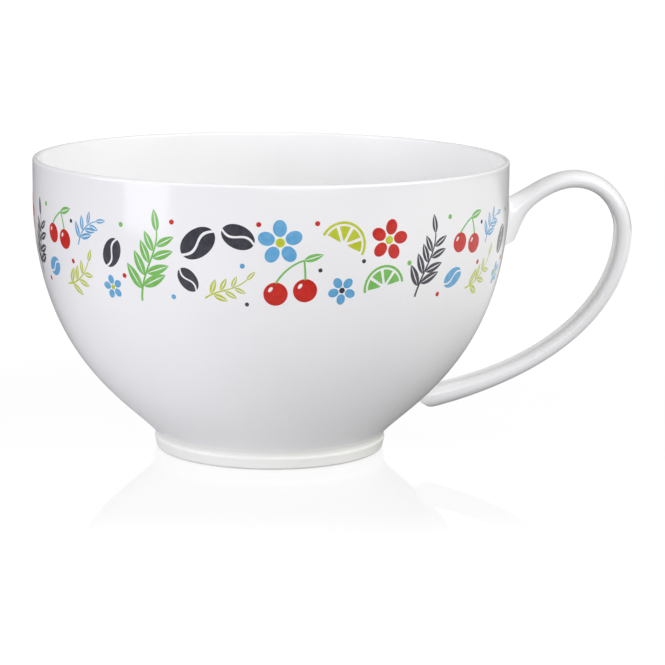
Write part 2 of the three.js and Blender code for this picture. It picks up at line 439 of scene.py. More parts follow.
def foot_outline():
    bore = LIP_RADIUS - FOOT_WIDTH
    under_middle = Vector((LIP_RADIUS - SIDE_TAPER - FOOT_TURN, FOOT_TURN))
    under = arc(under_middle, FOOT_TURN, -90, 0, EDGE_STEPS)
    lip_middle = Vector((LIP_RADIUS - LIP_ROUND, FOOT_HEIGHT - LIP_ROUND))
    lip = arc(lip_middle, LIP_ROUND, 0, LIP_TURN, EDGE_STEPS)
    side = [under[-1].lerp(lip[0], step / FOOT_SIDE_STEPS) for step in range(1, FOOT_SIDE_STEPS)]
    collar_top = BASE_HEIGHT + COLLAR_HEIGHT
    wall_radius, wall_normal = wall_at(collar_top)
    meet = Vector((wall_radius, collar_top)) + COLLAR_SKIN * wall_normal
    shoulder = pulled(lip[-1], 90 + LIP_TURN, SHOULDER_PULL)
    hollow = meet - HOLLOW_PULL * Vector((-wall_normal.y, wall_normal.x))
    collar = lip + bezier([lip[-1], shoulder, hollow, meet], COLLAR_STEPS)[1:]
    sunk = meet - COLLAR_SINK * wall_normal
    bore_edge = arc(Vector((bore + BORE_EDGE, BORE_EDGE)), BORE_EDGE, 180, 270, EDGE_STEPS)
    top = Vector((bore, BASE_HEIGHT + RING_SINK))
    return under + side + collar + [sunk, top] + bore_edge


foot_line = foot_outline()
print(f"the foot ring's outline has {len(foot_line)} points")

# %% Turn the foot ring
# painted shade: the foot's whites are set a little darker than the glaze's, and their warm tint is the
# clay's own
FOOT_SHADED_WHITE = (0.86, 0.86, 0.82, 1)
FOOT_SHADED_CLOUD = (0.84, 0.838, 0.798, 1)
THIN_ROUGHNESS = (0.4, 0.5)
BARE_LIGHT = (0.74, 0.71, 0.66, 1)
BARE_DEEP = (0.66, 0.63, 0.58, 1)
BARE_ROUGHNESS = 0.62
BARE_SPECKS = (900, 4)
BARE_GRAIN = (4200, 3)
BARE_GRAIN_DEPTH = 0.03 * MM
STANDING_EDGE = 0.12 * MM


def bare_porcelain():
    skin = (BARE_SPECKS, BARE_GRAIN, BARE_GRAIN_DEPTH)
    material, _, shader = clouded("bare_porcelain", BARE_DEEP, BARE_LIGHT, *skin)
    shader.inputs["Roughness"].default_value = BARE_ROUGHNESS
    return material


def foot_material(middle):
    """Number of the material of a face: bare on the standing edge, glazed above it."""
    return 1 if middle.z < STANDING_EDGE else 0


thin_glaze = glazed_porcelain("thin_glaze", FOOT_SHADED_CLOUD, FOOT_SHADED_WHITE, THIN_ROUGHNESS)
foot = turn("glazed_foot_ring", foot_line, True, [thin_glaze, bare_porcelain()], foot_material)
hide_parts("foot_ring", "foot_slip")
print(f"the foot ring stands {FOOT_HEIGHT / MM:.1f} mm high")

# %% [markdown]
# ## The handle's centre line
# The handle is a strap bent into a loop: out of the wall at a slope, over a crown, round its outermost
# point and back in a long low sweep. Three Bezier curves meet at the crown and at the outermost point,
# where their tangents are level and upright, so the loop has no kink. A bevelled curve object would
# follow the same line, but its section can't flare into the roots as clay does.

# %% Draw the handle's centre line
CROWN_OUT = 16.8 * MM
CROWN_DROP = 5.05 * MM
REACH_OUT = 29.5 * MM
REACH_DROP = 18.2 * MM
UPPER_ROOT_DROP = 19.1 * MM
LOWER_ROOT_HEIGHT = 10.95 * MM
ROOT_SINK = 4 * MM
UPPER_ROOT_SLOPE = 49.5
UPPER_ROOT_PULL = 7.7 * MM
CROWN_PULL_IN = 7.7 * MM
CROWN_PULL_OUT = 8.25 * MM
REACH_PULL_UP = 5.75 * MM
REACH_PULL_DOWN = 19.1 * MM
LOWER_ROOT_SLOPE = 10.4
LOWER_ROOT_PULL = 39.9 * MM
LINE_STEPS = 80


def handle_line():
    upper_height = CUP_HEIGHT - UPPER_ROOT_DROP
    upper = Vector((wall_at(upper_height)[0] - ROOT_SINK, upper_height))
    lower = Vector((wall_at(LOWER_ROOT_HEIGHT)[0] - ROOT_SINK, LOWER_ROOT_HEIGHT))
    crown = Vector((RIM_RADIUS + CROWN_OUT, CUP_HEIGHT - CROWN_DROP))
    reach = Vector((RIM_RADIUS + REACH_OUT, CUP_HEIGHT - REACH_DROP))
    leaving = pulled(upper, UPPER_ROOT_SLOPE, UPPER_ROOT_PULL)
    landing = pulled(lower, LOWER_ROOT_SLOPE, LOWER_ROOT_PULL)
    rise = [upper, leaving, pulled(crown, 180, CROWN_PULL_IN), crown]
    bend = [crown, pulled(crown, 0, CROWN_PULL_OUT), pulled(reach, 90, REACH_PULL_UP), reach]
    sweep = [reach, pulled(reach, -90, REACH_PULL_DOWN), landing, lower]
    points = bezier(rise, LINE_STEPS)
    points += bezier(bend, LINE_STEPS)[1:]
    points += bezier(sweep, LINE_STEPS)[1:]
    return points


line_points = handle_line()
line_lengths = [0]
for first, second in zip(line_points, line_points[1:]):
    line_lengths.append(line_lengths[-1] + (second - first).length)
LINE_LENGTH = line_lengths[-1]
print(f"the strap's centre line is {LINE_LENGTH / MM:.1f} mm long")

# %% [markdown]
# ## The strap's skin
# Across the strap the clay is full and round on its outer side and flatter where the fingers lie, and it
# is thicker where it flares into its roots. A superellipse gives each side with one number for its
# squareness, and both sides meet upright at the flanks. Past the ends of the centre line the skin runs
# straight on, so every line along the strap surely meets the wall.

# %% Describe the strap's skin
STRAP_THICKNESS = 4.23 * MM
STRAP_WIDTH = 9.4 * MM
OUTER_SQUARENESS = 2.15
INNER_SQUARENESS = 3
UPPER_ROOT_THICKNESS = 12.96 * MM
UPPER_ROOT_FLARE = 7.8 * MM
LOWER_ROOT_THICKNESS = 5.86 * MM
LOWER_ROOT_FLARE = 24 * MM
UPPER_ROOT_WIDTH = 11 * MM
LOWER_ROOT_WIDTH = 7.4 * MM


def line_at(length):
    """Place and direction of the centre line at a length from its upper end, straight past its ends."""
    inside = min(max(length, 0), LINE_LENGTH)
    index = 1
    while line_lengths[index] < inside:
        index += 1
    share = (inside - line_lengths[index - 1]) / (line_lengths[index] - line_lengths[index - 1])
    place = line_points[index - 1].lerp(line_points[index], share)
    before = line_points[max(index - 2, 0)]
    after = line_points[min(index + 1, len(line_points) - 1)]
    near = (line_points[index] - before).normalized()
    far = (after - line_points[index - 1]).normalized()
    along = near.lerp(far, share).normalized()
    return place + (length - inside) * along, along


def soft_square(value, squareness):
    """A sine or cosine bent towards a superellipse."""
    return math.copysign(abs(value) ** (2 / squareness), value)


def strap_skin(length, angle):
    """Point of the strap's skin at a length along it and an angle round it, 0 on its outer side."""
    place, along = line_at(length)
    upper = math.exp(-(max(length, 0) / UPPER_ROOT_FLARE) ** 2)
    lower = math.exp(-(max(LINE_LENGTH - length, 0) / LOWER_ROOT_FLARE) ** 2)
    thickness = STRAP_THICKNESS + (UPPER_ROOT_THICKNESS - STRAP_THICKNESS) * upper
    thickness += (LOWER_ROOT_THICKNESS - STRAP_THICKNESS) * lower
    width = STRAP_WIDTH + (UPPER_ROOT_WIDTH - STRAP_WIDTH) * upper
    width += (LOWER_ROOT_WIDTH - STRAP_WIDTH) * lower
    squareness = OUTER_SQUARENESS if math.cos(angle) > 0 else INNER_SQUARENESS
    off = thickness / 2 * soft_square(math.cos(angle), squareness)
    side = width / 2 * soft_square(math.sin(angle), squareness)
    return Vector((AXIS_X + place.x - along.y * off, side, place.y + along.x * off))


print(f"half way along, the strap's outer side is {strap_skin(LINE_LENGTH / 2, 0).z / MM:.1f} mm up")

# %% [markdown]
# ## Where the strap meets the wall
# Before its roots can be shaped, each line along the strap has to know where it would hit the bowl. No
# formula gives that place, so the script walks along the line in small steps until it is inside the clay,
# and then halves the last step again and again. A ray cast on the two meshes could find the hit too, but
# only on their flat faces.

# %% Find where the strap meets the wall
SKIN_LINES = 96
UPPER_FREE = 25 * MM
LOWER_FREE = 30 * MM
WALK_STEP = 0.5 * MM
HALVINGS = 24


def wall_hit(angle, start, step):
    """Length along a skin line where it meets the wall, found by walking from a free place."""
    length = start
    while wall_distance(strap_skin(length, angle))[0] > 0:
        length += step
    free, sunk = length - step, length
    for _ in range(HALVINGS):
        middle = (free + sunk) / 2
        if wall_distance(strap_skin(middle, angle))[0] > 0:
            free = middle
        else:
            sunk = middle
    return (free + sunk) / 2


skin_angles = [step / SKIN_LINES * math.tau for step in range(SKIN_LINES)]
upper_hits = [wall_hit(angle, UPPER_FREE, -WALK_STEP) for angle in skin_angles]
lower_hits = [wall_hit(angle, LINE_LENGTH - LOWER_FREE, WALK_STEP) for angle in skin_angles]
print(f"the outer side hits the wall {upper_hits[0] / MM:.1f} and {lower_hits[0] / MM:.1f} mm along")

# %% [markdown]
# ## The roots
# A stuck-on handle doesn't just run into the bowl. Above each joint the potter smooths a wet fillet from
# strap to wall, and below it the strap's end stays a rounded thumb-like tip. For each line along the
# strap the script draws a B-spline whose last point lies on the wall, outside the joint for a fillet or
# back under it for a tip. A voxel remesh could blend the pieces too, but it would leave a grainy gloss.

# %% Make the root helpers
TIP_REACH = 20 * MM
SPREAD_FULLNESS = 0.85


def b_spline(corners, steps):
    """Points on a clamped cubic B-spline, from its first corner to its last."""
    spans = len(corners) - 3
    knots = [0] * 3 + list(range(spans + 1)) + [spans] * 3
    points = []
    for step in range(steps + 1):
        at = spans * step / steps
        span = min(int(at), spans - 1) + 3
        level = [corners[span - 3 + index].copy() for index in range(4)]
        for depth in range(1, 4):
            for index in range(3, depth - 1, -1):
                left = knots[span - 3 + index]
                right = knots[span + 1 + index - depth]
                level[index] = level[index - 1].lerp(level[index], (at - left) / (right - left))
        points.append(level[3])
    return points


def on_wall_below(place):
    """The point of the wall straight under a place."""
    gap, normal = wall_distance(place)
    return place - gap * normal


def tip_length(hit, angle, inward, back):
    """How far before its hit a skin line stands over the wall point a distance back from the hit."""
    meet = strap_skin(hit, angle)
    near, far = 0, TIP_REACH
    for _ in range(HALVINGS):
        middle = (near + far) / 2
        if (on_wall_below(strap_skin(hit - inward * middle, angle)) - meet).length < back:
            near = middle
        else:
            far = middle
    return near


def spread_at(angle, spread):
    """A smooth value round the strap from those on its outer side, its flanks and its inner side."""
    outer, flank, inner = spread
    side = outer if math.cos(angle) > 0 else inner
    return flank + (side - flank) * abs(math.cos(angle)) ** SPREAD_FULLNESS


half_way_gap = wall_distance(strap_skin(LINE_LENGTH / 2, 0))[0]
print(f"half way along, the strap's outer side is {half_way_gap / MM:.1f} mm off the wall")

# %% Shape the roots
ROOT_STEPS = 26
ROOT_REACH = 7 * MM
ROOT_MIDDLE = 0.65 * ROOT_REACH
ROOT_SUNK = 0.1 * MM
TIP_FLARE = 0.3 * MM
FULL_TIP = 2 * MM
FILLET_SHARE = 0.35
TIP_BLUNTNESS = 0.25
UPPER_SPREAD = (0.9 * MM, 8 * MM, -5.7 * MM)
LOWER_SPREAD = (-7.1 * MM, -0.7 * MM, 2.6 * MM)
UPPER_ROUNDING = 0.1 * MM
LOWER_ROUNDING = 2.2 * MM


def root_lines(hits, inward, spread, rounding):
    """For each skin line, the length at which the root begins and the points from there to the wall."""
    meets = [strap_skin(hit, angle) for hit, angle in zip(hits, skin_angles)]
    middle = sum(meets, Vector()) / len(meets)
    starts, lines = [], []
    for hit, angle, meet in zip(hits, skin_angles, meets):
        normal = wall_distance(meet)[1]
        away = meet - middle
        away = (away - away.dot(normal) * normal).normalized()
        out = spread_at(angle, spread)
        back = tip_length(hit, angle, inward, -out) if out < 0 else 0
        corner = hit - inward * back
        turn_point = strap_skin(corner, angle)
        fillet = max(out, TIP_FLARE)
        end = on_wall_below(turn_point + fillet * away)
        blunt = 0 if out > 0 else TIP_BLUNTNESS * min(-out / FULL_TIP, 1)
        half_way = turn_point.lerp(end, 0.5 - blunt)
        gap, normal = wall_distance(half_way)
        half_way -= min(gap, 0) * normal
        end -= ROOT_SUNK * wall_distance(end)[1]
        bend = rounding + FILLET_SHARE * fillet
        before = (ROOT_REACH, ROOT_MIDDLE, bend)
        corners = [strap_skin(corner - inward * length, angle) for length in before]
        corners += [turn_point, half_way, end]
        starts.append(corner - inward * ROOT_REACH)
        lines.append(b_spline(corners, ROOT_STEPS))
    return starts, lines


upper_starts, upper_lines = root_lines(upper_hits, -1, UPPER_SPREAD, UPPER_ROUNDING)
lower_starts, lower_lines = root_lines(lower_hits, 1, LOWER_SPREAD, LOWER_ROUNDING)
print(f"the free strap is about {(lower_starts[0] - upper_starts[0]) / MM:.0f} mm long")

# %% [markdown]
# ## The handle
# Now the skin lines become one closed mesh: the upper root's points, the free strap between, and the
# lower root's points, joined ring by ring and closed with a fan inside the clay of the wall, where it
# never shows. The handle stands for the CAD handle and for both layers of slip. The photographed wall
# shows no mirror image of it, so it is kept out of glossy rays.

# %% Build the handle
STRAP_STEPS = 170
END_SINK = 1 * MM


def free_strap(start, end, angle):
    """Points of a skin line between two lengths, without those at its ends."""
    return [strap_skin(start + (end - start) * step / STRAP_STEPS, angle) for step in range(1, STRAP_STEPS)]


def make_handle():
    build = bmesh.new()
    rows = []
    for index, angle in enumerate(skin_angles):
        free = free_strap(upper_starts[index], lower_starts[index], angle)
        rows.append(upper_lines[index][::-1] + free + lower_lines[index])
    rings = [[build.verts.new(row[step]) for row in rows] for step in range(len(rows[0]))]
    for first, second in zip(rings, rings[1:]):
        for face in join_rings(build, first, second):
            face.smooth = True
    for ring in (rings[0], rings[-1]):
        middle = sum((vert.co for vert in ring), Vector()) / len(ring)
        gap, normal = wall_distance(middle)
        join_rings(build, ring, [build.verts.new(middle - (gap + END_SINK) * normal)])
    return new_piece("glazed_handle", build, [glaze])


handle = make_handle()
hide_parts("handle", "upper_handle_slip", "lower_handle_slip")
handle.visible_glossy = False
print(f"the handle has {len(handle.data.polygons)} faces")

# %% [markdown]
# ## Drawing a printed band
# The band is a transfer: enamel colours printed on film, laid on the glaze and fired until they melt into
# it. An image texture would be the usual way to place one. Thin solids of enamel, a few hundredths of a
# millimetre proud, keep their edges sharp at any zoom and catch light as the real colour does, so each
# motif is drawn as closed loops on a flat sheet in millimetres, with u along the band and v up.

# %% Draw the motifs' basic shapes
LOOP_STEPS = 26
LEAF_STEPS = 14
LEAF_BULGE = ((0.2, 0.75), (0.7, 0.6))
VEIN_SHARES = (0.85, 0.6, 0.4, 0.2)
VEIN_WIDTH = 0.3


def at_angle(middle, radius, degrees):
    """The point at a radius and an angle from a middle."""
    angle = math.radians(degrees)
    return Vector((middle[0] + radius * math.cos(angle), middle[1] + radius * math.sin(angle)))


def oval(middle, length, width, degrees=0):
    """A loop round an ellipse whose long axis is turned by an angle."""
    along = at_angle((0, 0), 1, degrees)
    across = Vector((-along.y, along.x))
    points = []
    for step in range(LOOP_STEPS):
        angle = step / LOOP_STEPS * math.tau
        place = Vector(middle) + along * (length / 2 * math.cos(angle))
        points.append(place + across * (width / 2 * math.sin(angle)))
    return points


def stroke(points, start_width, end_width):
    """A loop round a line whose width changes evenly from its start to its end."""
    left, right = [], []
    for index, point in enumerate(points):
        before = points[max(index - 1, 0)]
        after = points[min(index + 1, len(points) - 1)]
        along = (after - before).normalized()
        half = (start_width + (end_width - start_width) * index / (len(points) - 1)) / 2
        left.append(point + half * Vector((-along.y, along.x)))
        right.append(point - half * Vector((-along.y, along.x)))
    return left + right[::-1]


def leaf_halves(base, tip, width):
    """Two loops that together are a leaf, with an open vein between them."""
    base, tip = Vector(base), Vector(tip)
    along = tip - base
    across = Vector((-along.y, along.x)).normalized()
    halves = []
    for side in (1, -1):
        bulge = [base + share * along + side * width * full * across for share, full in LEAF_BULGE]
        loop = bezier([base, *bulge, tip], LEAF_STEPS)
        for share in VEIN_SHARES:
            open_by = side * VEIN_WIDTH / 2 * math.sin(math.pi * share)
            loop.append(base + along * share + open_by * across)
        halves.append(loop)
    return halves


print("a leaf has", len(leaf_halves((0, 0), (0, 5), 2)), "halves")

# %% [markdown]
# ## The motifs
# Leaf sprigs, coffee beans, flowers, cherries and citrus slices fill the band. Every motif files its
# loops under the colour that prints it, because each enamel is printed as a pass of its own and becomes
# one piece.

# %% Draw leaf sprigs
inks = {"green": [], "charcoal": [], "blue": [], "red": [], "lime": []}
STEM_STEPS = 24
STEM_TAPER = 0.6
LEAF_FIRST = 0.14
LEAF_SPAN = 0.7
LEAF_SHIFT = 0.055
LEAF_SHRINK = 0.45
LEAF_TURN = 46
LEAF_OFF = 0.35
LEAF_WIDTH = 0.36
END_LEAF_LENGTH = 0.72
END_LEAF_WIDTH = 0.25


def add_leaf(ink, base, tip, width):
    """Files both halves of a leaf under their ink."""
    for half in leaf_halves(base, tip, width):
        inks[ink].append([half])


def sprig(ink, line, leaf, pairs, stem=0.55):
    """A bent stem with leaves in turn on both sides, smaller towards its tip, and one leaf at the end."""
    points = bezier(line, STEM_STEPS)
    inks[ink].append([stroke(points[:-2], stem, stem * STEM_TAPER)])
    for pair in range(pairs):
        share = LEAF_FIRST + LEAF_SPAN * pair / pairs
        size = leaf * (1 - LEAF_SHRINK * share)
        for side, shift in ((1, 0), (-1, LEAF_SHIFT)):
            index = min(int((share + shift) * STEM_STEPS), STEM_STEPS - 2)
            along = points[index + 1] - points[index]
            heading = math.degrees(math.atan2(along.y, along.x)) + side * LEAF_TURN
            base = at_angle(points[index], LEAF_OFF, heading)
            add_leaf(ink, base, at_angle(base, size, heading), size * LEAF_WIDTH)
    along = (points[-1] - points[-3]).normalized()
    add_leaf(ink, points[-3], points[-3] + along * leaf * END_LEAF_LENGTH, leaf * END_LEAF_WIDTH)


print("inks:", ", ".join(inks))

# %% Draw coffee beans
BEAN_WIDTH = 0.68
BEAN_STEPS = 18
BEAN_OPENING = 6
CREASE_STEPS = 14
CREASE_REACH = 0.47
CREASE_BEND = 0.13
CREASE_HALF = 0.035


def bean(ink, middle, length, degrees):
    """A coffee bean: two halves with a bent crease left open between them."""
    along = at_angle((0, 0), 1, degrees)
    across = Vector((-along.y, along.x))
    width = length * BEAN_WIDTH
    for side in (1, -1):
        loop = []
        for step in range(BEAN_STEPS + 1):
            angle = math.radians(BEAN_OPENING + (180 - 2 * BEAN_OPENING) * step / BEAN_STEPS)
            loop.append((length / 2 * math.cos(angle), side * width / 2 * math.sin(angle)))
        for step in range(1, CREASE_STEPS):
            reach = -CREASE_REACH * length + 2 * CREASE_REACH * length * step / CREASE_STEPS
            bend = width * CREASE_BEND * math.sin(math.tau * reach / length)
            loop.append((reach, bend + side * length * CREASE_HALF))
        inks[ink].append([[Vector(middle) + along * a + across * b for a, b in loop]])


print(f"a bean is {BEAN_WIDTH} times as wide as it is long")

# %% Draw flowers
PETALS = 5
PETAL_OUT = 0.62
PETAL_LENGTH = 0.74
PETAL_WIDTH = 0.6
HEART_WIDTH = 0.4


def flower(ink, heart, middle, radius, degrees):
    """Round petals about a heart of another colour."""
    for petal in range(PETALS):
        heading = degrees + 360 / PETALS * petal
        place = at_angle(middle, radius * PETAL_OUT, heading)
        inks[ink].append([oval(place, radius * PETAL_LENGTH, radius * PETAL_WIDTH, heading)])
    inks[heart].append([oval(middle, radius * HEART_WIDTH, radius * HEART_WIDTH)])


print(f"a flower has {PETALS} petals")

# %% Draw cherries
CHERRY_HEIGHT = 1.94
CHERRY_LIGHT_PLACE = (-0.42, 0.38)
CHERRY_LIGHT_SIZE = (0.5, 0.28)
CHERRY_LIGHT_TURN = 52
STALK_START = 0.9
STALK_LEAN = 0.4
STALK_DROP = 1.2
STALK_STEPS = 14
STALK_WIDTHS = (0.5, 0.4)
CHERRY_LEAF = (4.6, 1.3)
CHERRY_LEAF_WIDTH = 1.7


def cherries(left, right, joint, radius):
    """Two cherries with a light left open on each, hanging from one joint with a leaf."""
    length, width = (radius * share for share in CHERRY_LIGHT_SIZE)
    for middle in (left, right):
        light_place = [at + radius * share for at, share in zip(middle, CHERRY_LIGHT_PLACE)]
        light = oval(light_place, length, width, CHERRY_LIGHT_TURN)
        inks["red"].append([oval(middle, radius * 2, radius * CHERRY_HEIGHT), light])
        top = Vector((middle[0], middle[1] + radius * STALK_START))
        bend = Vector((middle[0] * (1 - STALK_LEAN) + joint[0] * STALK_LEAN, joint[1] - STALK_DROP))
        inks["green"].append([stroke(bezier([top, bend, joint], STALK_STEPS), *STALK_WIDTHS)])
    add_leaf("green", joint, Vector(joint) + Vector(CHERRY_LEAF), CHERRY_LEAF_WIDTH)


print(f"a cherry is {CHERRY_HEIGHT / 2} times as high as it is wide")

# %% Draw citrus slices and dots
RIND_WIDTH = 0.6
RIND_STEPS = 24
SEGMENTS = 4
SEGMENT_DEGREES = 180 / SEGMENTS
SEGMENT_STEPS = 8
SEGMENT_RIND = 1.1
SEGMENT_GAP = 5
SEGMENT_SHOULDER = 0.36
SHOULDER_GAP = 9
SEGMENT_HEART = 0.17


def slice_of(ink, middle, radius, degrees):
    """A half slice of citrus: the rind and its segments."""
    headings = [degrees + 180 * step / RIND_STEPS for step in range(RIND_STEPS + 1)]
    rind = [at_angle(middle, radius - RIND_WIDTH / 2, heading) for heading in headings]
    inks[ink].append([stroke(rind, RIND_WIDTH, RIND_WIDTH)])
    for segment in range(SEGMENTS):
        start = degrees + SEGMENT_DEGREES * segment
        loop = []
        for step in range(SEGMENT_STEPS + 1):
            heading = start + SEGMENT_GAP + (SEGMENT_DEGREES - 2 * SEGMENT_GAP) * step / SEGMENT_STEPS
            loop.append(at_angle(middle, radius - SEGMENT_RIND, heading))
        shoulder = radius * SEGMENT_SHOULDER
        loop.append(at_angle(middle, shoulder, start + SEGMENT_DEGREES - SHOULDER_GAP))
        loop.append(at_angle(middle, radius * SEGMENT_HEART, start + SEGMENT_DEGREES / 2))
        loop.append(at_angle(middle, shoulder, start + SHOULDER_GAP))
        inks[ink].append([loop])


def dots(ink, *middles, radius=0.6):
    for middle in middles:
        inks[ink].append([oval(middle, radius * 2, radius * 2)])


print(f"a half slice has {SEGMENTS} segments of {SEGMENT_DEGREES:.0f} degrees")

# %% [markdown]
# ## The frieze
# Two arrangements take turns round the cup, so that the eye doesn't find the repeat at once. The band
# runs from one side of the handle to the other, large motifs set the rhythm, and small ones fill the gaps
# above and below them as in a printed border.

# %% Arrange the frieze
UNIT_LENGTH = 57.9
UNITS = 6


def shifted(start):
    """Moves a place on the sheet to its unit."""
    return lambda u, v: Vector((start + u, v))


def first_arrangement(at):
    sprig("green", [at(3.5, -10.5), at(4, -3), at(10, 2), at(8.5, 8)], 7.4, 4)
    bean("charcoal", at(19, 4.4), 9.6, 38)
    bean("charcoal", at(28.6, 6.2), 8.2, -24)
    bean("charcoal", at(16.4, -4.4), 6.4, -52)
    sprig("lime", [at(20.5, -8.6), at(24, -6), at(28, -7), at(31.5, -3)], 4, 3, 0.4)
    flower("blue", "lime", at(38.4, 5), 5.4, 20)
    cherries(at(37.4, -7.2), at(44.4, -6.4), at(44, 0.8), 2.9)
    slice_of("lime", at(53.2, 4.2), 5.6, -28)
    flower("blue", "charcoal", at(53.4, -6.6), 3.5, 50)
    dots("red", at(12.6, 9), at(33.4, 9.2), at(47, 9.4))
    dots("blue", at(12.4, -8.8), at(29.6, -0.6))
    dots("charcoal", at(30.6, -9.8), at(47.9, -1.6), radius=0.5)


def second_arrangement(at):
    slice_of("green", at(6.4, -6.4), 5.4, 12)
    flower("red", "lime", at(7, 4.9), 5, 8)
    sprig("charcoal", [at(15.8, -9.5), at(17, -3), at(21.8, 1), at(20.4, 7)], 6.4, 4)
    bean("blue", at(28.2, -6), 6.6, 24)
    cherries(at(29.6, 2.4), at(35.6, 1.6), at(34, 8), 2.5)
    sprig("lime", [at(34.4, -9.4), at(39, -9), at(43.5, -6.4), at(45.4, -1.6)], 4.8, 3, 0.45)
    sprig("blue", [at(41.6, 1), at(43, 5), at(46, 7), at(49.4, 7.4)], 4.4, 3, 0.4)
    bean("charcoal", at(53.4, 0.4), 7.6, 62)
    flower("blue", "lime", at(52.8, -8), 3, 30)
    dots("green", at(13, -1), at(25.4, 9), at(56.6, 7.4))
    dots("red", at(38.6, -3.4), at(23.4, -9.6), at(56.9, -4.8))
    dots("charcoal", at(0.6, 0.2), at(38.9, 6.4), radius=0.5)


for unit in range(UNITS):
    arrange = second_arrangement if unit % 2 else first_arrangement
    arrange(shifted(unit * UNIT_LENGTH))
print("loops by ink:", {ink: len(shapes) for ink, shapes in inks.items()})

# %% [markdown]
# ## Firing the print on the bowl
# Each loop is filled with triangles, bent onto the wall and given a little thickness: its face lies just
# proud of the glaze and its underside is sunk in it. A constrained Delaunay fill keeps the outlines
# exact, and points in the middle of the larger shapes let them follow the bowl's roundness.

# %% Fill loops with triangles
FILL_STEP = 1.3
EDGE_ROOM = 0.35 * FILL_STEP
ALL_TRIANGLES = 0
FILL_EXACTNESS = 1e-7


def is_inside(point, loops):
    """Whether a point is inside loops, by how often a level line from it crosses them."""
    odd = False
    for loop in loops:
        for a, b in zip(loop, loop[1:] + loop[:1]):
            if (a.y > point.y) != (b.y > point.y):
                if point.x < a.x + (point.y - a.y) / (b.y - a.y) * (b.x - a.x):
                    odd = not odd
    return odd


def fill(loops):
    """Points, how many of them are on the edge, and triangles that fill loops and leave holes open."""
    points, edges = [], []
    for loop in loops:
        start = len(points)
        points.extend(loop)
        edges.extend((start + step, start + (step + 1) % len(loop)) for step in range(len(loop)))
    rim_count = len(points)
    low = Vector((min(point.x for point in points), min(point.y for point in points)))
    high = Vector((max(point.x for point in points), max(point.y for point in points)))
    for row in range(1, int((high.y - low.y) / FILL_STEP) + 1):
        for column in range(1, int((high.x - low.x) / FILL_STEP) + 1):
            place = low + Vector((column, row)) * FILL_STEP
            near = min((place - point).length for point in points[:rim_count])
            if near > EDGE_ROOM and is_inside(place, loops):
                points.append(place)
    places, _, triangles, *_ = delaunay_2d_cdt(points, edges, [], ALL_TRIANGLES, FILL_EXACTNESS)
    kept = []
    for face in triangles:
        if is_inside(sum((places[i] for i in face), Vector((0, 0))) / len(face), loops):
            kept.append(face)
    return places, rim_count, kept


print(f"an oval of 5 by 4 mm is filled with {len(fill([oval((0, 0), 5, 4)])[2])} triangles")

# %% Bend the print onto the wall
BAND_START = math.radians(14)
BAND_MIDDLE = 56.2 * MM
ENAMEL_FACE = 0.045 * MM
ENAMEL_EDGE = 0.02 * MM
ENAMEL_SUNK = -0.1 * MM


def on_bowl(sheet, lift):
    """A place on the sheet bent onto the wall, lifted off it in metres."""
    height = BAND_MIDDLE + sheet.y * MM
    radius, normal = wall_at(height)
    angle = BAND_START + sheet.x * MM / RIM_RADIUS
    out = radius + lift * normal.x
    return Vector((AXIS_X + out * math.cos(angle), out * math.sin(angle), height + lift * normal.y))


def add_enamel(build, loops):
    """A thin closed solid on the wall from the loops of one shape."""
    places, rim_count, triangles = fill(loops)
    face_points, sunk_points = [], []
    for index, place in enumerate(places):
        lift = ENAMEL_EDGE if index < rim_count else ENAMEL_FACE
        face_points.append(build.verts.new(on_bowl(place, lift)))
        sunk_points.append(build.verts.new(on_bowl(place, ENAMEL_SUNK)))
    edge_uses = {}
    for face in triangles:
        build.faces.new([face_points[i] for i in face]).smooth = True
        build.faces.new([sunk_points[i] for i in reversed(face)])
        for a, b in zip(face, list(face[1:]) + [face[0]]):
            edge_uses.setdefault(frozenset((a, b)), []).append((a, b))
    for uses in edge_uses.values():
        if len(uses) == 1:
            a, b = uses[0]
            build.faces.new((face_points[b], face_points[a], sunk_points[a], sunk_points[b]))
            build.edges.get((face_points[a], face_points[b])).smooth = False
    for vert in face_points + sunk_points:
        if not vert.link_faces:
            build.verts.remove(vert)


band_turn = math.degrees(UNITS * UNIT_LENGTH * MM / RIM_RADIUS)
print(f"the band goes round by {band_turn:.0f} degrees")

# %% Fire the print
ENAMEL_ROUGHNESS = 0.2
ENAMEL_SPECKS = (700, 2)
ENAMEL_GRAIN = (1600, 2)
ENAMEL_GRAIN_DEPTH = 0.01 * MM
ENAMELS = {
    "green": ((0.17, 0.48, 0.085, 1), (0.21, 0.54, 0.12, 1)),
    "charcoal": ((0.04, 0.04, 0.052, 1), (0.06, 0.06, 0.076, 1)),
    "blue": ((0.11, 0.36, 0.62, 1), (0.15, 0.42, 0.68, 1)),
    "red": ((0.52, 0.012, 0.006, 1), (0.6, 0.02, 0.01, 1)),
    "lime": ((0.48, 0.54, 0.025, 1), (0.55, 0.61, 0.05, 1)),
}


def enamel(name, deep, light):
    material, _, shader = clouded(name, deep, light, ENAMEL_SPECKS, ENAMEL_GRAIN, ENAMEL_GRAIN_DEPTH)
    shader.inputs["Roughness"].default_value = ENAMEL_ROUGHNESS
    return material


for ink, (deep, light) in ENAMELS.items():
    build = bmesh.new()
    for shape in inks[ink]:
        add_enamel(build, shape)
    piece = new_piece(f"print_{ink}", build, [enamel(f"print_{ink}", deep, light)])
    print(f"print_{ink}: {len(inks[ink])} shapes, {len(piece.data.polygons)} faces")

# %% [markdown]
# ## The white table
# In the photograph the cup stands on a polished white sheet that fills the picture, with a faint mirror
# image in front of it that soon fades. A white floor under plain light comes out grey, so for rays from
# the camera most of the sheet shines by itself, a little over full white. The rest of it is real card,
# which keeps the cup's shadow, and near the cup a polish mirrors it, more at a flat angle as any polish
# does. Rays that light the cup meet a dark table with a white paper at the front left and a small card
# under the handle, as a photographer lays them to shape white ware. Glossy rays see all of the white on
# the right and a small share elsewhere, because the dark draws the thin dark edges that make white read
# on white.

# %% Tell the rays apart
WHITE_RAYS = ("Is Camera Ray", "Is Transmission Ray", "Is Singular Ray")


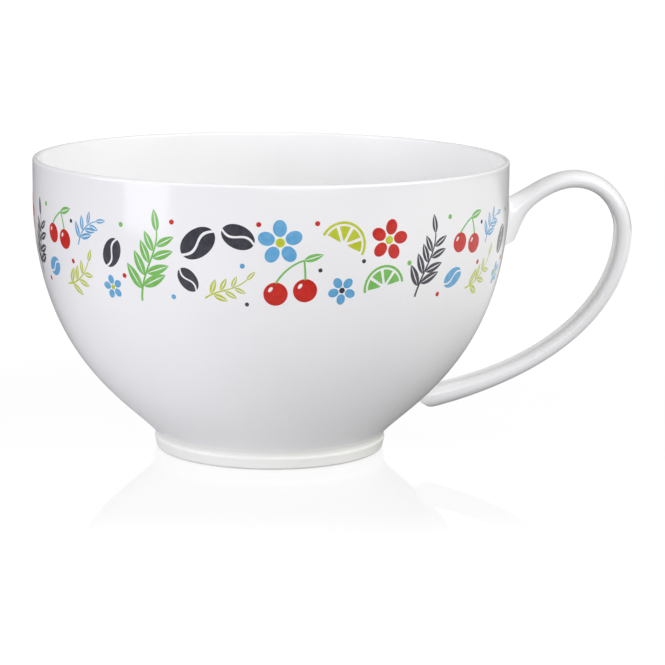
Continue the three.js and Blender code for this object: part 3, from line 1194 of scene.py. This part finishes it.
def combine(tree, operation, first, second):
    """A Math node on two values, each of them a socket or a number."""
    node = tree.nodes.new("ShaderNodeMath")
    node.operation = operation
    for socket, value in zip(node.inputs, (first, second)):
        if isinstance(value, bpy.types.NodeSocket):
            tree.links.new(value, socket)
        else:
            socket.default_value = value
    return node.outputs[0]


def white_rays(tree, gloss_share):
    """1 for rays from the camera, through glass or off a sharp mirror, and a share off other gloss."""
    path = tree.nodes.new("ShaderNodeLightPath")
    white = combine(tree, "MULTIPLY", path.outputs["Is Glossy Ray"], gloss_share)
    for rays in WHITE_RAYS:
        white = combine(tree, "MAXIMUM", white, path.outputs[rays])
    return white


def fade_out(tree, middle, near, far, inside, beyond):
    """A value that changes smoothly with the distance from a middle on the table."""
    place = tree.nodes.new("ShaderNodeTexCoord")
    off = tree.nodes.new("ShaderNodeVectorMath")
    off.operation = "DISTANCE"
    off.inputs[1].default_value = middle
    tree.links.new(place.outputs["Object"], off.inputs[0])
    return map_range(tree, off.outputs["Value"], (near, far), (inside, beyond), "SMOOTHSTEP")


def mixed(tree, factor, first, second):
    """Two shaders mixed by a socket."""
    mix = tree.nodes.new("ShaderNodeMixShader")
    tree.links.new(factor, mix.inputs["Fac"])
    tree.links.new(first.outputs[0], mix.inputs[1])
    tree.links.new(second.outputs[0], mix.inputs[2])
    return mix


print("rays that see all of the white:", ", ".join(WHITE_RAYS))

# %% Mix the table's white
PLAIN = (1, 1, 1)
PAPER_WHITE = 0.6
TABLE_DARK = 0.06
PAPER_MIDDLE = (AXIS_X - 0.09, -0.08, 0)
PAPER_NEAR = 0.08
PAPER_FAR = 0.21
CARD_MIDDLE = (AXIS_X + 0.085, -0.03, 0)
CARD_WHITE = 0.44
CARD_NEAR = 0.02
CARD_FAR = 0.06
GLOSS_MIDDLE = (AXIS_X + 0.46, 0.04, 0)
GLOSS_NEAR = 0.32
GLOSS_FAR = 0.42
GLOSS_SHARE = 0.1
TABLE_GLOW = 1.105
SHADOW_SHARE = 0.1
SHADOW_NEAR = 0.1
SHADOW_FAR = 0.2
POLISH_SHARE = 0.64
POLISH_MIDDLE = (AXIS_X, 0.3, 0)
POLISH_NEAR = 0.365
POLISH_FAR = 0.415
POLISH_IOR = 1.45
CUP_PLACE = (AXIS_X, 0, 0)


def stage_material(name):
    """A material for the stage whose glow isn't sampled as a lamp, with nothing but its output."""
    material = bpy.data.materials.new(name)
    material.cycles.emission_sampling = "NONE"
    material.use_nodes = True
    tree = material.node_tree
    tree.nodes.clear()
    return material, tree, tree.nodes.new("ShaderNodeOutputMaterial").inputs["Surface"]


def shine(tree, brightness, color=PLAIN):
    """A glow of a brightness next to a white sheet."""
    glow = tree.nodes.new("ShaderNodeEmission")
    glow.inputs["Color"].default_value = (*color, 1)
    glow.inputs["Strength"].default_value = brightness
    return glow


def table_material():
    material, tree, surface = stage_material("white_table")
    card = tree.nodes.new("ShaderNodeBsdfDiffuse")
    card.inputs["Color"].default_value = (PAPER_WHITE, PAPER_WHITE, PAPER_WHITE, 1)
    shadow = fade_out(tree, CUP_PLACE, SHADOW_NEAR, SHADOW_FAR, SHADOW_SHARE, 0)
    mirror = tree.nodes.new("ShaderNodeBsdfGlossy")
    mirror.inputs["Roughness"].default_value = 0
    flat_angle = tree.nodes.new("ShaderNodeFresnel")
    flat_angle.inputs["IOR"].default_value = POLISH_IOR
    polish = fade_out(tree, POLISH_MIDDLE, POLISH_NEAR, POLISH_FAR, POLISH_SHARE, 0)
    polish = combine(tree, "MULTIPLY", flat_angle.outputs[0], polish)
    path = tree.nodes.new("ShaderNodeLightPath")
    polish = combine(tree, "MULTIPLY", path.outputs["Is Camera Ray"], polish)
    white = mixed(tree, polish, mixed(tree, shadow, shine(tree, TABLE_GLOW), card), mirror)
    paper = tree.nodes.new("ShaderNodeBsdfDiffuse")
    sheet = fade_out(tree, PAPER_MIDDLE, PAPER_NEAR, PAPER_FAR, PAPER_WHITE, TABLE_DARK)
    handle_card = fade_out(tree, CARD_MIDDLE, CARD_NEAR, CARD_FAR, CARD_WHITE, TABLE_DARK)
    tree.links.new(combine(tree, "MAXIMUM", sheet, handle_card), paper.inputs["Color"])
    gloss_share = fade_out(tree, GLOSS_MIDDLE, GLOSS_NEAR, GLOSS_FAR, 1, GLOSS_SHARE)
    tree.links.new(mixed(tree, white_rays(tree, gloss_share), paper, white).outputs[0], surface)
    return material


white_sheet = table_material()
print("mixed", white_sheet.name)

# %% [markdown]
# ## Laying the table
# The sheet is far larger than the picture, so its edge never shows. The handle was kept out of glossy
# rays, so a twin of it that glows an even grey, which only a sharp mirror sees, is a painted reflection
# that gives the polish its mirror image. Letting the handle itself back into those rays would be simpler,
# but then the glazed wall would mirror it too.

# %% Lay the table
TABLE_SIZE = 12.0
# strength of the handle twin's glow, a painted reflection in the table's polish
TWIN_REFLECTION_GLOW = 0.6


def flat_sheet(name, width, height, material):
    """A sheet of the stage, flat on the table until it is aimed elsewhere."""
    x, y = width / 2, height / 2
    mesh = bpy.data.meshes.new(name)
    mesh.from_pydata([(-x, -y, 0), (x, -y, 0), (x, y, 0), (-x, y, 0)], [], [(0, 1, 2, 3)])
    mesh.materials.append(material)
    sheet = bpy.data.objects.new(name, mesh)
    bpy.context.collection.objects.link(sheet)
    return sheet


def painted_reflection_twin(piece, brightness):
    """A copy of a piece that glows an even grey: a painted reflection that only the table's sharp mirror
    sees.
    """
    name = f"{piece.name}_twin"
    material, tree, surface = stage_material(name)
    clear = tree.nodes.new("ShaderNodeBsdfTransparent")
    path = tree.nodes.new("ShaderNodeLightPath")
    # painted reflection: an even grey glow stands in for the lit handle in the table's mirror
    grey = mixed(tree, path.outputs["Is Singular Ray"], clear, shine(tree, brightness))
    tree.links.new(grey.outputs[0], surface)
    mesh = piece.data.copy()
    mesh.materials.clear()
    mesh.materials.append(material)
    twin = bpy.data.objects.new(name, mesh)
    bpy.context.collection.objects.link(twin)
    twin.visible_camera = twin.visible_diffuse = twin.visible_transmission = twin.visible_shadow = False


table = flat_sheet("white_table", TABLE_SIZE, TABLE_SIZE, white_sheet)
painted_reflection_twin(handle, TWIN_REFLECTION_GLOW)
print("laid", table.name)

# %% [markdown]
# ## The room
# The room over the table is white where the camera or the table's sharp mirror sees it, and an even dim
# grey for all other rays, so that the soft boxes shape the cup and no side of it goes dark. A picture of
# a studio could light it too, but then every tone on the cup would hang on that picture.

# %% Make the room
ROOM_DIM = 0.35


def make_room():
    world = bpy.data.worlds.new("white_room")
    bpy.context.scene.world = world
    world.use_nodes = True
    tree = world.node_tree
    tree.nodes.clear()
    shade = tree.nodes.new("ShaderNodeMix")
    shade.data_type = "RGBA"
    shade.inputs["A"].default_value = (ROOM_DIM, ROOM_DIM, ROOM_DIM, 1)
    shade.inputs["B"].default_value = (1, 1, 1, 1)
    tree.links.new(white_rays(tree, GLOSS_SHARE), shade.inputs["Factor"])
    room = tree.nodes.new("ShaderNodeBackground")
    tree.links.new(shade.outputs["Result"], room.inputs["Color"])
    out = tree.nodes.new("ShaderNodeOutputWorld")
    tree.links.new(room.outputs[0], out.inputs["Surface"])


make_room()
print("the room is", ROOM_DIM, "bright away from the camera")

# %% [markdown]
# ## The lights
# Soft boxes stand around the cup as in a product studio. Three in front and on the left, a little blue,
# light the wall and the foot; a wide plain one on the right lights the left half of the inside and the
# handle. One lights the back of the cup and is kept out of the glaze, where it would wash out the dark
# edges. Two glowing cards are seen only in the glaze: a narrow one close by on the left makes the upright
# streak, and a small one behind the cup the pale inner edge of the handle. Brightness is that of a face
# next to a white sheet, so boxes and cards can change size freely.

# %% Set the lights
LIGHT_AWAY = 1.2
COOL = (0.925, 0.916, 1)
CUP_MIDDLE = Vector((AXIS_X, 0, CUP_HEIGHT / 2))
STREAK_PLACE = CUP_MIDDLE + Vector((-0.222, -0.16, 0.07))
STREAK_TARGET = CUP_MIDDLE + Vector((0, 0, 0.07))
HANDLE_CARD_PLACE = CUP_MIDDLE + Vector((0, 0.16, 0))


def aim(thing, place, target):
    """Puts a lamp or a card in its place with its face to a target."""
    thing.location = place
    thing.rotation_euler = (target - place).to_track_quat("-Z", "Y").to_euler()


def area_light(name, place, target, width, height, brightness, color=PLAIN):
    """A soft box of a size in metres whose face is as bright as a white sheet times brightness."""
    data = bpy.data.lights.new(name, "AREA")
    data.shape = "RECTANGLE"
    data.size = width
    data.size_y = height
    data.energy = brightness * math.pi * width * height
    data.color = color
    lamp = bpy.data.objects.new(name, data)
    bpy.context.collection.objects.link(lamp)
    aim(lamp, place, target)
    lamp.visible_camera = False
    return lamp


def soft_box(name, round_degrees, up_degrees, width, height, brightness, color=PLAIN):
    """A soft box at an angle round the cup, 0 towards the camera and positive to its right."""
    round_angle = math.radians(round_degrees)
    up_angle = math.radians(up_degrees)
    away = math.cos(up_angle) * LIGHT_AWAY
    up = math.sin(up_angle) * LIGHT_AWAY
    place = CUP_MIDDLE + Vector((math.sin(round_angle) * away, -math.cos(round_angle) * away, up))
    return area_light(name, place, CUP_MIDDLE, width, height, brightness, color)


def glow_card(name, place, target, width, height, brightness, color=PLAIN):
    """A glowing card that is seen in reflections and lights nothing else."""
    material, tree, surface = stage_material(name)
    tree.links.new(shine(tree, brightness, color).outputs[0], surface)
    card = flat_sheet(name, width, height, material)
    aim(card, place, target)
    card.visible_camera = card.visible_diffuse = card.visible_shadow = False


soft_box("front_left_box", -70, 7, 1.0, 0.45, 4.8, COOL)
soft_box("front_box", 12, 7, 0.8, 0.45, 3.85, COOL)
soft_box("left_box", -62, 30, 0.8, 0.7, 1.3, COOL)
soft_box("right_box", 58, 37, 1.3, 0.75, 3.3)
back = soft_box("back_box", 180, 8, 1.2, 0.36, 4.2)
back.visible_glossy = False
glow_card("streak_card", STREAK_PLACE, STREAK_TARGET, 0.105, 0.18, 2.9, COOL)
glow_card("handle_card", HANDLE_CARD_PLACE, CUP_MIDDLE, 0.14, 0.08, 1.0)

# %% [markdown]
# The Standard view transform shows colours as they are written, which suits white ware on a white page.

# %% Finish
bpy.context.scene.view_settings.view_transform = "Standard"
